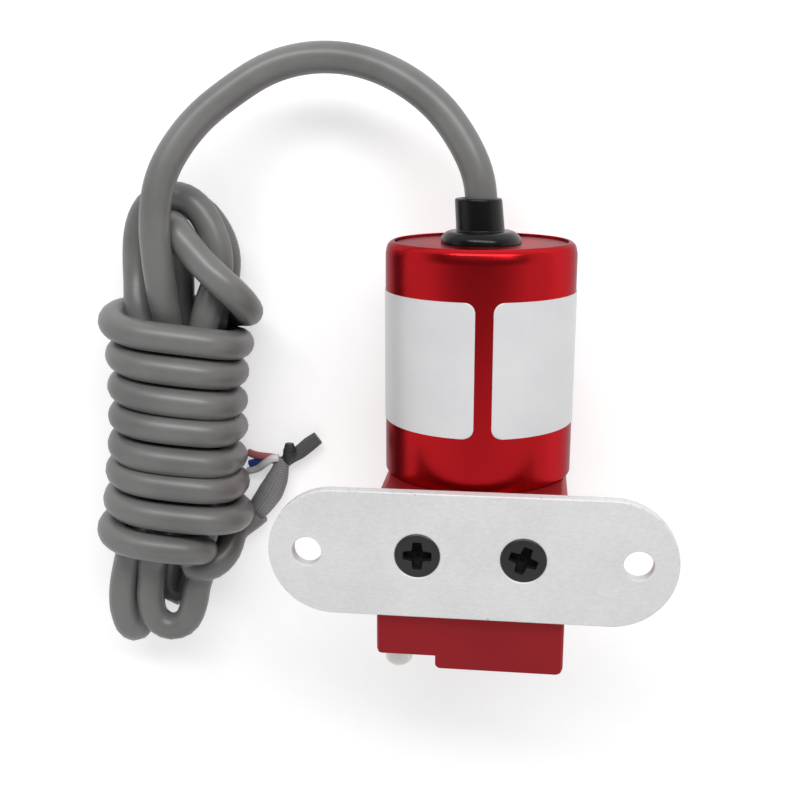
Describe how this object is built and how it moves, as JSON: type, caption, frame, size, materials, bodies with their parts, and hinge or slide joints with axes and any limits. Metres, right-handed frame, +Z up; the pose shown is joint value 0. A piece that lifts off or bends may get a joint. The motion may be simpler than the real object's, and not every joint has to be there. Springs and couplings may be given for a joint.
{
  "type": "draw wire encoder",
  "caption": "Draw wire encoder: sprung wire drum and angle sensor in a square block, round electronics can with a cable gland, flat mounting plate and a bundled lead.",
  "frame": {"origin": "on the table, under the middle of the object without its cable", "axes": "+Z up from the back cover, through the block, to the mounting plate; +Y along the can, from the wire outlet to the cable gland; +X across the block, so the wire leaves on the -X side"},
  "size_m": [0.099, 0.108, 0.034],
  "materials": {
    "red_anodised": "satin red anodised aluminium",
    "plate_aluminium": "fine brushed aluminium",
    "black_steel": "black oxide steel",
    "bright_steel": "bright stainless steel",
    "plated_fitting": "satin nickel plate",
    "black_rubber": "smooth moulded rubber",
    "label_film": "white polyester film",
    "brass": "turned brass",
    "dark_magnet": "sintered magnet",
    "green_board": "solder resist on glass laminate",
    "black_plastic": "moulded black plastic",
    "lead_insulation": "thin lead insulation",
    "grey_jacket": "satin grey cable jacket",
    "grey_braid": "tinned wire braid",
    "blue_insulation": "core insulation",
    "red_insulation": "core insulation",
    "pale_insulation": "core insulation"
  },
  "bodies": {
    "housing": {"housing_block": "red_anodised", "back_cover": "red_anodised", "cover_gasket": "black_rubber", "cover_screws": "black_steel", "mounting_plate": "plate_aluminium", "plate_screws": "black_steel", "electronics_can": "red_anodised", "can_screws": "bright_steel", "can_lid": "red_anodised", "lid_seal": "black_rubber", "label_left": "label_film", "label_right": "label_film", "cable_gland": "black_rubber", "wire_outlet_bush": "bright_steel", "front_bearing_outer": "bright_steel", "rear_bearing_outer": "bright_steel", "bearing_balls": "bright_steel", "bearing_bridge": "plate_aluminium", "spring_arbor": "brass", "power_spring": "bright_steel", "sensor_board": "green_board", "sensor_chip": "black_plastic", "spacer_ring": "black_plastic", "sensor_leads": "lead_insulation", "board_carrier": "black_plastic", "circuit_board": "green_board", "board_parts": "black_plastic", "cable_entry": "grey_jacket", "cable_run": "grey_jacket", "cable_hank": "grey_jacket", "cable_tail": "grey_jacket", "cable_braid": "grey_braid", "core_blue": "blue_insulation", "core_red": "red_insulation", "core_pale": "pale_insulation", "braid_pigtail": "grey_braid"},
    "drum": {"wire_drum": "plate_aluminium", "wound_wire": "bright_steel", "drum_shaft": "bright_steel", "front_bearing_inner": "bright_steel", "rear_bearing_inner": "bright_steel", "magnet_holder": "brass", "sensor_magnet": "dark_magnet"},
    "wire_end": {"draw_wire": "bright_steel", "wire_end_fitting": "plated_fitting"}
  },
  "joints": [
    {"name": "wire_pull", "type": "slide", "parent": "housing", "child": "wire_end", "axis": [0, -1, 0], "range_m": [0, 0.3], "stiffness_N_per_m": 4, "springref_m": -0.75, "deforming": ["draw_wire"]},
    {"name": "drum_spin", "type": "hinge", "parent": "housing", "child": "drum", "pos_m": [0, -0.01982, 0.02395], "axis": [0, 0, 1], "range_deg": [0, 1445]}
  ],
  "couplings": [
    {"joint": "drum_spin", "follows": "wire_pull", "rad_per_m": 83.776}
  ]
}
